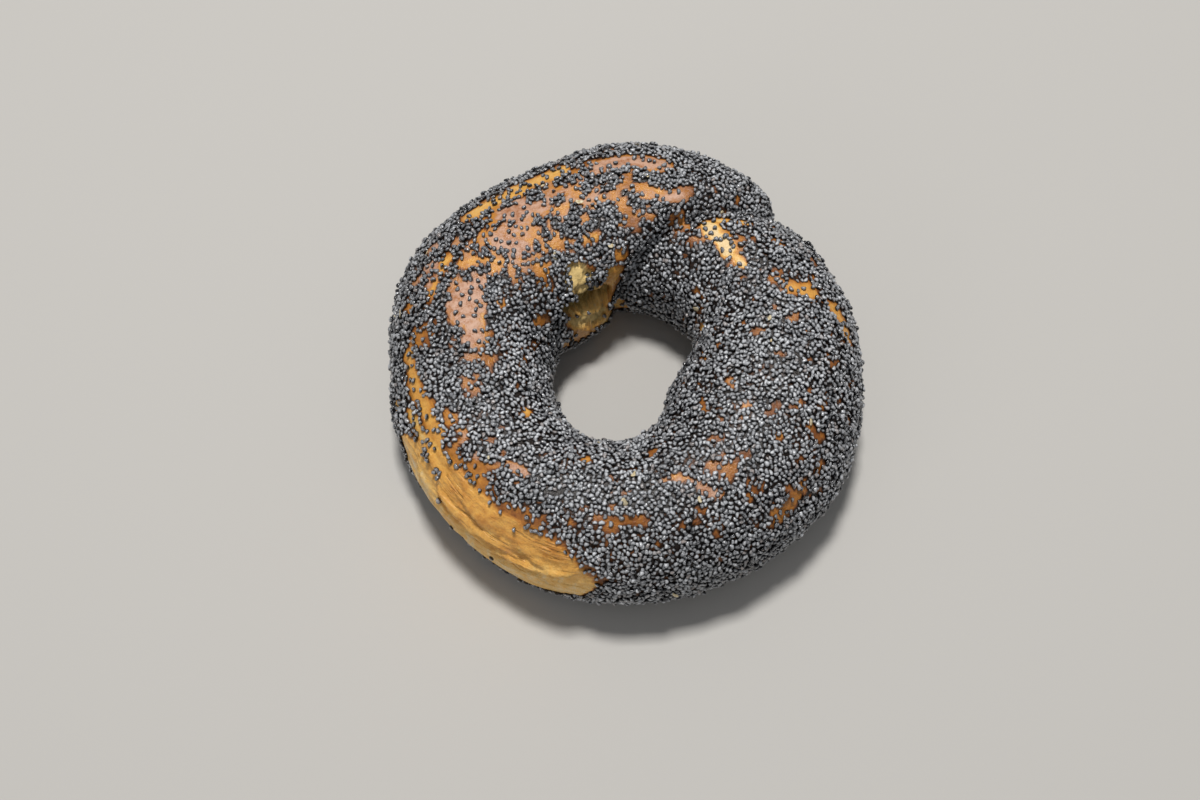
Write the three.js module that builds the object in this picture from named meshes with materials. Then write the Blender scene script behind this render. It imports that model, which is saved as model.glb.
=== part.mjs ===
// A hand-rolled ring bagel in one piece. A rope of dough is bent into a ring and its head end
// is laid over its tail end, so a crease crosses the ring where the two meet. It was baked on a
// flat tray, and it rests on that flat underside. A small tear has opened in the wall of the hole.
//
// Millimetres and degrees, +Z up. The origin is on the underside, below the middle of the
// bagel's bounding box. Two angles place a point on the skin:
//   ring angle     round the hole, counterclockwise seen from above, 0 at +X
//   section angle  round the rope, 0 at its outer side, 90 on top, 180 at the hole
import * as THREE from "three";

// The rope, every 30 degrees of ring angle from its head end at 30 to its tail end at 450:
// the rope's middle line from the hole's axis, half the rope's width, the rope's height.
const HEAD_END = 30;
const TAIL_END = 450;
const STATION_STEP = 30;
const ROPE = [
  [34.0, 18.0, 33.0],
  [34.6, 18.6, 34.5],
  [34.9, 18.6, 35.0],
  [32.3, 19.1, 34.0],
  [34.1, 18.9, 33.5],
  [32.9, 17.1, 32.5],
  [32.5, 16.4, 32.0],
  [32.9, 15.9, 32.0],
  [32.3, 16.2, 32.5],
  [31.7, 17.8, 33.0],
  [31.1, 20.2, 33.5],
  [31.7, 19.4, 33.5],
  [34.4, 16.2, 32.5],
  [33.8, 14.9, 31.5],
  [33.6, 14.4, 31.0],
];

// The rope's widest level as a share of its height, and the section angle below it where the
// curve of the side meets the flat underside.
const WIDEST_LEVEL = 0.42;
const FLAT_FROM = 42;

// The crease runs slantwise over the rope: its ring angle swings by CREASE_SWING about
// CREASE_MIDDLE, least at the section angle CREASE_TURN.
const CREASE_MIDDLE = 72;
const CREASE_SWING = 24.5;
const CREASE_TURN = 20;
const LIP_REACH = 5; // along the ring, over which the head end's lip rises off the tail end
const GROOVE_DEPTH = 1.4; // how far the tail end is pressed in beside the lip
const GROOVE_REACH = 4.5; // along the ring, over which the pressed groove fades out
const SEALED_BELOW = 2; // height under which the two ends are baked shut
const SEAL_RISE = 8; // height over which the groove deepens above that
const RING_MIDDLE = 33; // usual distance of the rope's middle line from the hole's axis

// Hollows (depth above 0) and swellings (depth below 0) of the skin: ring angle, section angle,
// half length along the ring, half length round the rope, and depth.
const DENTS = [
  { ring: 118, section: 163, along: 9, across: 4.5, depth: 2.0 }, // the tear in the hole's wall
  { ring: 116, section: 132, along: 12, across: 5.0, depth: -0.8 }, // the brow above the tear
];

// How finely the skin is divided: steps round the ring, steps round the rope, and how much
// closer together the ring's steps stand at the crease (0 even, 1 touching).
const RING_STEPS = 96;
const ROPE_STEPS = 36;
const CREASE_CROWDING = 0.75;

const FULL_TURN = 360;
const rad = THREE.MathUtils.degToRad;
const clamp = THREE.MathUtils.clamp;
const mix = THREE.MathUtils.lerp;

// A rope measure at any ring angle, on a smooth curve through the stations.
function ropeMeasure(ringAngle, column) {
  const place = (ringAngle - HEAD_END) / STATION_STEP;
  const i = clamp(Math.floor(place), 0, ROPE.length - 2);
  const t = place - i;
  const at = (k) => ROPE[clamp(i + k, 0, ROPE.length - 1)][column];
  const [a, b, c, d] = [at(-1), at(0), at(1), at(2)];
  const square = 2 * a - 5 * b + 4 * c - d;
  const cube = 3 * b - a - 3 * c + d;
  return 0.5 * (2 * b + (c - a) * t + square * t * t + cube * t * t * t);
}

// The rope's section: an egg shape, widest a little under its middle and flat underneath.
function ropeSection(ringAngle, sectionAngle) {
  const middle = ropeMeasure(ringAngle, 0);
  const halfWidth = ropeMeasure(ringAngle, 1);
  const height = ropeMeasure(ringAngle, 2);
  const widest = WIDEST_LEVEL * height;
  const up = Math.sin(rad(sectionAngle));
  const reach = up > 0 ? height - widest : widest / Math.sin(rad(FLAT_FROM));
  return {
    out: middle + halfWidth * Math.cos(rad(sectionAngle)),
    z: Math.max(widest + reach * up, 0),
  };
}

function creaseAngle(sectionAngle) {
  return CREASE_MIDDLE - CREASE_SWING * Math.cos(rad(sectionAngle - CREASE_TURN));
}

// How deep the skin is pressed in at a point, over every dent.
function dentDepth(ringAngle, sectionAngle, out, halfWidth) {
  let depth = 0;
  for (const dent of DENTS) {
    const along = (rad(ringAngle - dent.ring) * out) / dent.along;
    const across = (rad(sectionAngle - dent.section) * halfWidth) / dent.across;
    depth += dent.depth * Math.exp(-(along * along + across * across));
  }
  return depth;
}

// A point on the skin. fromCrease is the angle counterclockwise from the crease, 0 to 360: the
// head end lies just past 0 and the tail end just before 360.
function skinPoint(fromCrease, sectionAngle) {
  const crease = creaseAngle(sectionAngle);
  const ringAngle = crease + fromCrease;
  const head = ropeSection(ringAngle, sectionAngle);
  const tail = ropeSection(Math.min(ringAngle + FULL_TURN, TAIL_END), sectionAngle);

  // The lip rises off the tail end as a quarter ellipse.
  const pastLip = clamp((rad(fromCrease) * RING_MIDDLE) / LIP_REACH, 0, 1);
  const rise = Math.sqrt(1 - (1 - pastLip) ** 2);
  let out = mix(tail.out, head.out, rise);
  let z = mix(tail.z, head.z, rise);

  // The groove lies beside the lip on the tail end, and under the lip as it rises.
  const before = rad(FULL_TURN - fromCrease) * RING_MIDDLE;
  const groove = Math.min(Math.exp(-((before / GROOVE_REACH) ** 1.5)) + 1 - rise, 1);
  const depth = GROOVE_DEPTH * groove * clamp((z - SEALED_BELOW) / SEAL_RISE, 0, 1);
  const halfWidth = ropeMeasure(ringAngle, 1);
  const pressed = depth + dentDepth(ringAngle % FULL_TURN, sectionAngle, out, halfWidth);
  out -= pressed * Math.cos(rad(sectionAngle));
  z = Math.max(z - pressed * Math.max(Math.sin(rad(sectionAngle)), 0), 0);

  return new THREE.Vector3(out * Math.cos(rad(ringAngle)), out * Math.sin(rad(ringAngle)), z);
}

// The whole skin as one closed surface, which joins up both round the ring and round the rope.
function bagelGeometry() {
  const points = [];
  const faces = [];
  for (let i = 0; i < RING_STEPS; i++) {
    const share = i / RING_STEPS;
    const crowding = (CREASE_CROWDING * Math.sin(2 * Math.PI * share)) / (2 * Math.PI);
    for (let j = 0; j < ROPE_STEPS; j++) {
      const point = skinPoint(FULL_TURN * (share - crowding), (FULL_TURN * j) / ROPE_STEPS);
      points.push(point.x, point.y, point.z);
      const here = i * ROPE_STEPS + j;
      const above = i * ROPE_STEPS + ((j + 1) % ROPE_STEPS);
      const round = ((i + 1) % RING_STEPS) * ROPE_STEPS;
      const next = round + j;
      const nextAbove = round + ((j + 1) % ROPE_STEPS);
      faces.push(here, next, nextAbove, here, nextAbove, above);
    }
  }
  const geometry = new THREE.BufferGeometry();
  geometry.setAttribute("position", new THREE.Float32BufferAttribute(points, 3));
  geometry.setIndex(faces);
  geometry.computeBoundingBox();
  const centre = geometry.boundingBox.getCenter(new THREE.Vector3());
  geometry.translate(-centre.x, -centre.y, 0);
  geometry.computeVertexNormals();
  return geometry;
}

const crust = new THREE.MeshStandardMaterial({ color: 0x6e6258, roughness: 0.7, metalness: 0 });
const bagel = new THREE.Mesh(bagelGeometry(), crust);
bagel.name = "bagel";

const root = new THREE.Group();
root.add(bagel);

export default root;
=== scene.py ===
"""Looks of a hand-rolled poppy seed bagel: its crust, the tear in the wall of its hole, the coat
of poppy seeds, and a few husk flakes caught among them.

The shapes are worked out in millimetres about the hole's axis and go into the meshes in metres,
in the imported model's frame. Two angles in degrees place a point on the skin:
  ring     round the hole, counterclockwise seen from above, 0 at +X
  section  round the rope of dough, 0 at its outer side, 90 on top, 180 at the hole
The rope's head end lies over its tail end at a crease, so skin points are worked out from
`past`, the angle counterclockwise from the crease, 0 on the head end to 360 on the tail end.

A patch of skin is given as ring, section, half length along the ring and half length round the
rope, in millimetres. A layer of noise is given as the size of its lumps in millimetres, its
strength and the number that its random values start from.
"""

import math

import bpy
import numpy as np
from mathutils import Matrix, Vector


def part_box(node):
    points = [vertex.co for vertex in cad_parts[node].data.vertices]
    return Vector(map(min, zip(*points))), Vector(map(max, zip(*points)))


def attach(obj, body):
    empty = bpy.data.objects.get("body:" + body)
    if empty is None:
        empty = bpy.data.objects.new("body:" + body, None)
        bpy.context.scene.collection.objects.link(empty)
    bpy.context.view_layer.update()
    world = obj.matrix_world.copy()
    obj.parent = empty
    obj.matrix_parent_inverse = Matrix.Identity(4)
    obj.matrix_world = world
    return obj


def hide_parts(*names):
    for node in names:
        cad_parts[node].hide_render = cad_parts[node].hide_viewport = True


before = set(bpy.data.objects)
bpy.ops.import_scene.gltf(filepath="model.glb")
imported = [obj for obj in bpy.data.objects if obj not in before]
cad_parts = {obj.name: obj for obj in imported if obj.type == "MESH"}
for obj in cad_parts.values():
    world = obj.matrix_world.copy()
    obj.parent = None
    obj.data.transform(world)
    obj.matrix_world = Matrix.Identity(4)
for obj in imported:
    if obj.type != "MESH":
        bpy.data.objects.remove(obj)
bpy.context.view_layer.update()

MM = 0.001
TINY = 1e-9  # keeps a division by a length of 0 harmless

# ---------------------------------------------------------------- the rope of dough (as in the CAD)

# Every 30 degrees of ring angle from the head end at 30 to the tail end at 450: the rope's middle
# line from the hole's axis, half the rope's width, the rope's height.
HEAD_END = 30
TAIL_END = 450
STATION_STEP = 30
MIDDLE_LINE, HALF_WIDTH, HEIGHT = 0, 1, 2  # the columns
ROPE = np.array([
    [34.0, 18.0, 33.0],
    [34.6, 18.6, 34.5],
    [34.9, 18.6, 35.0],
    [32.3, 19.1, 34.0],
    [34.1, 18.9, 33.5],
    [32.9, 17.1, 32.5],
    [32.5, 16.4, 32.0],
    [32.9, 15.9, 32.0],
    [32.3, 16.2, 32.5],
    [31.7, 17.8, 33.0],
    [31.1, 20.2, 33.5],
    [31.7, 19.4, 33.5],
    [34.4, 16.2, 32.5],
    [33.8, 14.9, 31.5],
    [33.6, 14.4, 31.0],
])
WIDEST_LEVEL = 0.42  # share of the height at which the rope is widest
FLAT_FROM = 42  # section angle below the widest level where the flat underside starts
CREASE_MIDDLE = 72
CREASE_SWING = 24.5
CREASE_TURN = 20
LIP_REACH = 5.0
GROOVE_DEPTH = 1.4
GROOVE_REACH = 4.5
GROOVE_CURVE = 1.5
SEALED_BELOW = 2.0
SEAL_RISE = 8.0
RING_MIDDLE = 33.0  # usual distance of the rope's middle line from the hole's axis
ROPE_MIDDLE = 17.5  # usual half width of the rope

# A hollow and a swelling beside it: patch and depth (a swelling's is below 0).
DENTS = [
    (118, 163, 9.0, 4.5, 2.0),
    (116, 132, 12.0, 5.0, -0.8),
]

# ---------------------------------------------------------------- the relief of the skin

SEED_SINK = 0.35  # how far the bread's skin lies inside the CAD skin, to make room for the seeds
SIDE_FULLER = 0.7  # share of that sink that the bare side is spared
BOTTOM = 0.3  # height of the bread's underside, which rests on the seeds baked into it
RELIEF_FROM = 2.5  # height above which the relief has its full height
LUMPS = [(15.0, 0.40, 0), (6.5, 0.20, 1), (2.8, 0.15, 2)]

# The bare side of the bread: its middle and half lengths in ring and section angle.
BARE_SIDE = (230.5, 14.0, 33.0, 39.0)
SIDE_END = 1.3  # half lengths along the ring past which it narrows no more
SIDE_FRAY = [(4.0, 3.5, 11), (1.6, 2.5, 12)]  # strength in degrees of section angle
SIDE_EDGE = 2.0  # half width of its edge, in degrees of section angle
SIDE_FRINGE = 24.0  # width of the band round it where the coat thins out

# Folds in the bare side: the ring and section angles of points along each, and its height.
FOLDS = [
    ([(214, 27), (226, 18), (238, 15), (248, 19), (260, 25)], 1.7),
    ([(235, 4), (246, 8), (256, 13)], 1.1),
    ([(222, 4), (238, -4)], 0.9),
    ([(218, 14), (231, 7)], 0.9),
    ([(240, 30), (252, 24)], 0.8),
    ([(220, 38), (234, 28)], 0.7),
    ([(243, 12), (257, 19)], 1.0),
    ([(204, 24), (213, 11), (222, 2)], 0.9),
    ([(206, 38), (218, 27)], 0.6),
    ([(229, 22), (241, 21)], 0.8),
    ([(247, 0), (258, 5)], 0.8),
]
FOLD_SHARE = 0.65  # share of a fold's height by which it lifts the skin above it and sinks it below
FOLD_EDGE = 0.2  # half width of the step in a fold
FOLD_REACH = 1.7  # how far above and below its line a fold is felt
FOLD_FADE = 4.0  # degrees of ring angle over which a fold runs out
WRINKLE_DEPTH = 0.35
WRINKLE_LENGTH = 9.0
WRINKLE_WIDTH = 1.3
WRINKLE_STEEPNESS = 2.4  # the steeper, the narrower the valleys
WRINKLE_WARP = [(6.0, 1.0, 41)]
WARP_ACROSS = 0.8  # how much of the warp goes across the rope
WRINKLE_START = 42

# Where the skin tore and the crumb shows: a stroke from ring, section to ring, section, its half
# width and its depth.
CRUMB = [
    (131, 153, 109, 163, 2.8, 3.6),
    (121, 132, 115, 148, 2.8, 0.6),
    (128, 172, 108, 180, 1.6, 0.6),
]
CRUMB_PITS, CRUMB_PORES = [(1.9, 1.0, 51)], [(0.9, 0.6, 52)]
TEAR_FLOOR, TEAR_PITTING = 0.4, 0.9  # shares of the tear's depth, evenly and in its pits
CRUMB_PITTING = 0.7  # depth of the pits over all the crumb

# ---------------------------------------------------------------- the coat and the bare patches

# How a bare patch baked: how brown from 0 to 1, and how much of a pink bloom.
GOLD, HONEY, ORANGE, PINK = (0.12, 0.0), (0.22, 0.2), (0.30, 0.3), (0.34, 1.0)
TAN, BROWN, EMBER, RUST = (0.40, 0.55), (0.62, 0.0), (0.50, 0.0), (0.36, 0.0)
STRAW, AMBER = (-0.10, 0.35), (0.29, 0.0)
# Patches where the coat of seeds is missing, as strokes with a half width and how they baked.
# Where two overlap, the one that covers a place more gives it its colour.
GAPS = [
    # Far side.
    (108, 57, 136, 49, 2.3, HONEY), (79, 67, 98, 67, 2.4, PINK), (71, 90, 81, 93, 1.6, TAN),
    (118, 80, 131, 72, 1.4, PINK), (133, 100, 141, 88, 1.4, PINK),
    (104, 117, 109, 115, 0.8, ORANGE), (67, 99, 64, 101, 1.2, TAN),
    # Left side.
    (162, 92, 176, 98, 3.1, PINK), (166, 84, 170, 88, 2.4, PINK),
    (160, 111, 160, 112, 0.9, ORANGE), (180, 43, 203, 52, 2.1, AMBER),
    (215, 50, 226, 76, 1.4, EMBER), (196, 36, 208, 42, 2.0, GOLD), (190, 18, 202, 8, 1.7, GOLD),
    (205, 54, 209, 46, 1.7, ORANGE),
    # Near side and right side.
    (229, 82, 234, 84, 1.3, PINK), (253, 116, 253, 118, 1.0, ORANGE),
    (215, 121, 215, 122, 0.9, GOLD), (285, 95, 293, 90, 1.0, PINK), (295, 80, 300, 70, 1.0, PINK),
    (262, 71, 276, 69, 0.9, BROWN), (246, 57, 246, 59, 1.2, BROWN), (312, 34, 321, 40, 1.4, EMBER),
    (326, 74, 326, 75, 1.1, ORANGE), (339, 112, 339, 113, 1.1, PINK),
    (330, 99, 331, 98, 1.0, PINK),
    # On the tail end beside the crease and on to the right side, and one in the far wall.
    (56, 93, 45, 102, 2.0, STRAW), (45, 103, 37, 103, 1.2, STRAW), (21, 79, 17, 63, 2.0, ORANGE),
    (25, 86, 25, 87, 1.2, ORANGE), (13, 45, 6, 35, 1.8, ORANGE), (91, 130, 92, 135, 1.0, EMBER),
    # Round the tear.
    (121, 131, 117, 146, 2.2, GOLD), (133, 114, 136, 124, 1.4, RUST),
    (98, 146, 101, 162, 2.4, AMBER), (104, 156, 112, 170, 3.2, GOLD),
    (134, 113, 139, 129, 1.5, RUST), (140, 192, 122, 190, 4.0, ORANGE),
    (124, 174, 99, 196, 3.7, GOLD), (126, 192, 101, 207, 3.6, GOLD),
    # Small ones here and there.
    (56, 84, 47, 68, 0.8, STRAW), (26, 158, 26, 162, 1.2, GOLD), (145, 95, 152, 78, 1.2, ORANGE),
    (152, 65, 163, 62, 1.0, GOLD),
]
PATCH_FRAY = [(2.2, 0.75, 31), (1.0, 0.55, 32)]  # the ragged edge of gaps and of the tear
PATCH_EDGE = 0.35  # half width of that edge
PATCH_HEART = (-0.5, 1.4)  # depths inside a gap between which its own colour takes over

# Tufts of seeds left standing in gaps and in the torn skin.
TUFTS = [(134, 130, 3.4, 3.0), (108, 142, 2.8, 2.2), (208, 36, 1.5, 1.0), (214, 36, 1.3, 1.0)]
TORN = (118, 157, 11.0, 7.5)  # where hardly a seed is left

# Stretches where the coat is thin: ring, section, half lengths in degrees, share of seeds missing.
THIN_PLACES = [
    (132, 84, 46, 33, 0.55), (90, 92, 28, 30, 0.36), (208, 60, 24, 18, 0.38),
    (300, 75, 22, 20, 0.20), (15, 72, 22, 22, 0.27), (252, 62, 24, 15, 0.25),
    (45, 100, 20, 16, 0.35), (318, 38, 16, 12, 0.25), (166, 47, 30, 20, 0.36),
    (187, 88, 20, 16, 0.28),
]
THIN_ANYWHERE = 0.10  # share missing elsewhere, before the noise of THIN_DRIFT
THIN_DRIFT = [(13.0, 0.10, 35)]

# Shares of seeds missing.
STRAY_MISSING = 0.03  # where the coat is close
OPEN_MISSING = 0.93  # in the openings of a thin stretch
FRINGE_MISSING = 0.9  # beside the bare side
GAP_MISSING, TORN_MISSING = 0.91, 0.085  # in a gap, and how much more where the skin tore
SIDE_MISSING = 0.999  # on the bare side
UNDERSIDE_MISSING = 0.90

# Noise that opens the coat, how far thinness lowers the value it opens at, and its soft edge.
OPENINGS = [(2.7, 0.32, 61), (1.3, 0.22, 62)]
OPENING_SPAN, OPENING_EDGE = 0.55, 0.07
# Spans of a mark or a height over which seeds go missing, or stand again.
FRINGE_SPAN, FRINGE_FRAY = (0.25, 0.95), 0.9
TORN_SPAN = (0.15, 0.5)
CRUMB_SPAN = (0.0, 0.15)
TUFT_SPAN = (0.30, 0.50)
UNDERSIDE_SPAN = (1.6, 0.6)


def smooth_step(low, high, x):
    """0 at low and before it, 1 at high and past it, and a smooth S curve between. The two may
    stand either way round."""
    t = np.clip((x - low) / (high - low), 0.0, 1.0)
    return t * t * (3.0 - 2.0 * t)


def corner_value(corners, start):
    """A fixed random value from -1 to 1 at each whole-numbered lattice corner: the corner's three
    numbers are multiplied by large primes, mixed bit by bit and cut to 16 bits."""
    mixed = corners[..., 0] * 73856093 ^ corners[..., 1] * 19349663 ^ corners[..., 2] * 83492791
    mixed = (mixed ^ start * 6700417) & 0x7FFFFFFF
    mixed = (mixed ^ mixed >> 13) * 1274126177 & 0x7FFFFFFF
    mixed = (mixed ^ mixed >> 16) * 974711 & 0x7FFFFFFF
    return (mixed >> 7 & 0xFFFF) / 32767.5 - 1.0


def lattice_noise(points, cell, start):
    """Smooth noise from -1 to 1: a random value at each corner of a lattice of that cell size,
    blended between corners on S curves."""
    scaled = points / cell
    corner = np.floor(scaled).astype(np.int64)
    t = scaled - corner
    t = t * t * (3.0 - 2.0 * t)
    total = np.zeros(points.shape[:-1])
    for step in np.ndindex(2, 2, 2):
        weight = np.prod(np.where(step, t, 1.0 - t), axis=-1)
        total += weight * corner_value(corner + np.array(step), start)
    return total


def layered_noise(points, layers, base=0.0):
    """A base value plus each layer's strength times its noise."""
    total = base
    for cell, strength, start in layers:
        total = total + strength * lattice_noise(points, cell, start)
    return total


# ---------------------------------------------------------------- the skin as a formula


def rope_measure(ring, column):
    """A rope measure at any ring angle: a Catmull-Rom curve through the stations."""
    place = (ring - HEAD_END) / STATION_STEP
    last = len(ROPE) - 1
    i = np.clip(np.floor(place).astype(int), 0, last - 1)
    t = place - i
    a, b, c, d = (ROPE[np.clip(i + k, 0, last), column] for k in (-1, 0, 1, 2))
    square = 2 * a - 5 * b + 4 * c - d
    cube = 3 * b - a - 3 * c + d
    return 0.5 * (2 * b + (c - a) * t + square * t**2 + cube * t**3)


def rope_section(ring, section):
    """Distance from the axis and height of the rope's egg-shaped section, flat underneath: the
    middle line plus half the width times the cosine, and the widest level plus a reach times the
    sine, cut off at the floor."""
    height = rope_measure(ring, HEIGHT)
    widest = WIDEST_LEVEL * height
    up = np.sin(np.radians(section))
    reach = np.where(up > 0, height - widest, widest / math.sin(math.radians(FLAT_FROM)))
    half_width = rope_measure(ring, HALF_WIDTH)
    out = rope_measure(ring, MIDDLE_LINE) + half_width * np.cos(np.radians(section))
    return out, np.maximum(widest + reach * up, 0.0)


def crease_angle(section):
    """Ring angle of the crease: its middle less its swing times the cosine of the section angle,
    turned a little."""
    return CREASE_MIDDLE - CREASE_SWING * np.cos(np.radians(section - CREASE_TURN))


def turn_between(angle, middle):
    """The signed angle from middle to angle, the short way round."""
    return (angle - middle + 180.0) % 360.0 - 180.0


def bell(ring, section, out, patch):
    """1 at the middle of a patch of skin, falling off as a bell curve over its half lengths."""
    along = np.radians(turn_between(ring, patch[0])) * out / patch[2]
    across = np.radians(turn_between(section, patch[1])) * ROPE_MIDDLE / patch[3]
    return np.exp(-(along**2 + across**2))


def plain_skin(past, section):
    """Ring angle, distance from the axis and height of the CAD's skin: the rope, the head end's
    lip rising off the tail end as a quarter ellipse, the groove beside it, and the dents."""
    ring = crease_angle(section) + past
    head_out, head_z = rope_section(ring, section)
    tail_out, tail_z = rope_section(np.minimum(ring + 360.0, TAIL_END), section)
    past_lip = np.clip(np.radians(past) * RING_MIDDLE / LIP_REACH, 0.0, 1.0)
    rise = np.sqrt(1.0 - (1.0 - past_lip) ** 2)
    out = tail_out + (head_out - tail_out) * rise
    z = tail_z + (head_z - tail_z) * rise
    before = np.radians(np.maximum(360.0 - past, 0.0)) * RING_MIDDLE
    groove = np.exp(-((before / GROOVE_REACH) ** GROOVE_CURVE)) + 1.0 - rise
    groove = np.minimum(groove, 1.0)
    press = GROOVE_DEPTH * groove * np.clip((z - SEALED_BELOW) / SEAL_RISE, 0.0, 1.0)
    for *patch, depth in DENTS:
        press = press + depth * bell(ring, section, out, patch)
    out = out - press * np.cos(np.radians(section))
    z = np.maximum(z - press * np.maximum(np.sin(np.radians(section)), 0.0), 0.0)
    return ring, out, z


def about_axis(ring, out, z):
    """Points at a ring angle, a distance from the hole's axis and a height."""
    return np.stack([out * np.cos(np.radians(ring)), out * np.sin(np.radians(ring)), z], axis=-1)


def unrolled(ring, out, z):
    """The rope pulled straight: length along it, distance out and height, for marks that run
    along the rope."""
    return np.stack([np.radians(ring) * RING_MIDDLE, out - RING_MIDDLE, z], axis=-1)


def bare_side(ring, section, straight):
    """How far inside the seedless side of the bread a place lies, in degrees of section angle: a
    ragged plateau that falls off as the fourth power of the distance along the ring."""
    middle, level, half_ring, half_section = BARE_SIDE
    along = np.abs(turn_between(ring, middle)) / half_ring
    plateau = half_section * (1.0 - np.minimum(along, SIDE_END) ** 4)
    edge = plateau + layered_noise(straight, SIDE_FRAY)
    return edge - np.abs(turn_between(section, level))


def stroke_distance(ring, section, stroke):
    """Distance over the skin from a stroke's middle line, a straight line in unrolled angles."""
    first_ring, first_section, last_ring, last_section = stroke
    middle_section = 0.5 * (first_section + last_section)
    out = RING_MIDDLE + ROPE_MIDDLE * math.cos(math.radians(middle_section))
    scale = np.radians(1.0) * np.array([out, ROPE_MIDDLE])
    reach = np.array([last_ring - first_ring, last_section - first_section]) * scale
    turns = [turn_between(ring, first_ring), turn_between(section, first_section)]
    place = np.stack(turns, -1) * scale
    share = np.clip((place @ reach) / max(reach @ reach, TINY), 0.0, 1.0)
    return np.linalg.norm(place - share[..., None] * reach, axis=-1)


def gap_marks(ring, section, ragged):
    """Over all gaps: how bare the skin is, how far inside a gap it lies, and how it baked."""
    bare = np.zeros(ring.shape)
    inside = np.zeros(ring.shape)
    brown = np.zeros(ring.shape)
    blush = np.zeros(ring.shape)
    for *stroke, half_width, (gap_brown, gap_blush) in GAPS:
        depth = half_width + ragged - stroke_distance(ring, section, stroke)
        cover = smooth_step(-PATCH_EDGE, PATCH_EDGE, depth)
        brown = np.where(cover > bare, gap_brown, brown)
        blush = np.where(cover > bare, gap_blush, blush)
        bare = np.maximum(bare, cover)
        inside = np.maximum(inside, smooth_step(*PATCH_HEART, depth))
    return bare, inside, brown, blush


def crumb_marks(ring, section, ragged):
    """How much of the torn crumb shows, and how deep it lies."""
    shown = np.zeros(ring.shape)
    deepest = np.zeros(ring.shape)
    for *stroke, half_width, depth in CRUMB:
        inset = half_width + ragged - stroke_distance(ring, section, stroke)
        cover = smooth_step(-PATCH_EDGE, PATCH_EDGE, inset)
        shown = np.maximum(shown, cover)
        deepest = np.maximum(deepest, depth * cover)
    return shown, deepest


def thin_share(ring, section, straight):
    """How thin the coat is: a little anywhere, drifting with noise, and more in each thin stretch,
    which is flat-topped because it falls off as the fourth power of the distance."""
    thin = layered_noise(straight, THIN_DRIFT, THIN_ANYWHERE)
    for place_ring, place_section, half_ring, half_section, share in THIN_PLACES:
        along = turn_between(ring, place_ring) / half_ring
        across = turn_between(section, place_section) / half_section
        thin = np.maximum(thin, share * np.exp(-((along**2 + across**2) ** 2)))
    return thin


def skin_marks(ring, section, out, z):
    """What shows where over the skin: shares from 0 to 1 by name, the tear's depth, and the
    place on the unrolled rope."""
    straight = unrolled(ring, out, z)
    ragged = layered_noise(straight, PATCH_FRAY)
    bare, inside, brown, blush = gap_marks(ring, section, ragged)
    crumb, crumb_depth = crumb_marks(ring, section, ragged)
    side_inset = bare_side(ring, section, straight)
    return {
        "side": smooth_step(-SIDE_EDGE, SIDE_EDGE, side_inset),
        "side_fringe": smooth_step(-SIDE_FRINGE, SIDE_EDGE, side_inset),
        "bare": bare,
        "inside": inside,
        "brown": brown,
        "blush": blush,
        "crumb": crumb,
        "crumb_depth": crumb_depth,
        "thin": thin_share(ring, section, straight),
        "straight": straight,
    }


def fold_height(ring, section):
    """Folds as steps: with t the distance above the fold's line, each raises the skin by a share
    of its height times tanh(t / edge) exp(-(t / reach)^2), fading out at both ends."""
    height = np.zeros(ring.shape)
    for line, tall in FOLDS:
        rings, sections = np.array(line).T
        above = turn_between(section, np.interp(ring % 360.0, rings, sections))
        above = np.radians(above) * ROPE_MIDDLE
        step = np.tanh(above / FOLD_EDGE) * np.exp(-((above / FOLD_REACH) ** 2))
        first, last = rings[0], rings[-1]
        fade = smooth_step(first, first + FOLD_FADE, ring % 360.0)
        fade = fade * smooth_step(last, last - FOLD_FADE, ring % 360.0)
        height += FOLD_SHARE * tall * step * fade
    return height


def wrinkle_height(straight):
    """Wrinkles along the rope: valleys where stretched noise crosses 0, warped by wider noise."""
    stretched = straight / np.array([WRINKLE_LENGTH, WRINKLE_WIDTH, WRINKLE_WIDTH])
    warp = layered_noise(straight, WRINKLE_WARP)
    stretched = stretched + np.stack([warp, WARP_ACROSS * warp, WARP_ACROSS * warp], -1)
    ridge = WRINKLE_STEEPNESS * np.abs(lattice_noise(stretched, 1.0, WRINKLE_START))
    return -WRINKLE_DEPTH * np.maximum(1.0 - ridge, 0.0)


def tear_depth(points, marks):
    """How far the skin is sunk where it tore: a hollow, the tear's depth times a floor plus pits,
    and pits over all the crumb. Pits are noise without its sign, at two sizes."""
    pitted = np.abs(layered_noise(points, CRUMB_PITS))
    pitted = pitted + np.abs(layered_noise(points, CRUMB_PORES))
    hollow = marks["crumb_depth"] * (TEAR_FLOOR + TEAR_PITTING * pitted)
    return hollow, CRUMB_PITTING * marks["crumb"] * pitted


def skin(past, section):
    """The bread's skin: the CAD's skin drawn in to make room for the seeds, then lumps, folds
    and wrinkles on the bare side, and the torn crumb. Returns points, marks and ring angles."""
    ring, out, z = plain_skin(past, section)
    marks = skin_marks(ring, section, out, z)
    points = about_axis(ring, out, z)
    height = -SEED_SINK * (1.0 - SIDE_FULLER * marks["side"])
    height = layered_noise(points, LUMPS, height)
    creased = fold_height(ring, section) + wrinkle_height(marks["straight"])
    height = height + creased * marks["side"]
    hollow, pits = tear_depth(points, marks)
    height = height - hollow - pits
    height = height * smooth_step(0.0, RELIEF_FROM, z)
    out = out + height * np.cos(np.radians(section))
    z = np.maximum(z + height * np.sin(np.radians(section)), BOTTOM)
    return about_axis(ring, out, z), marks, ring


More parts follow.
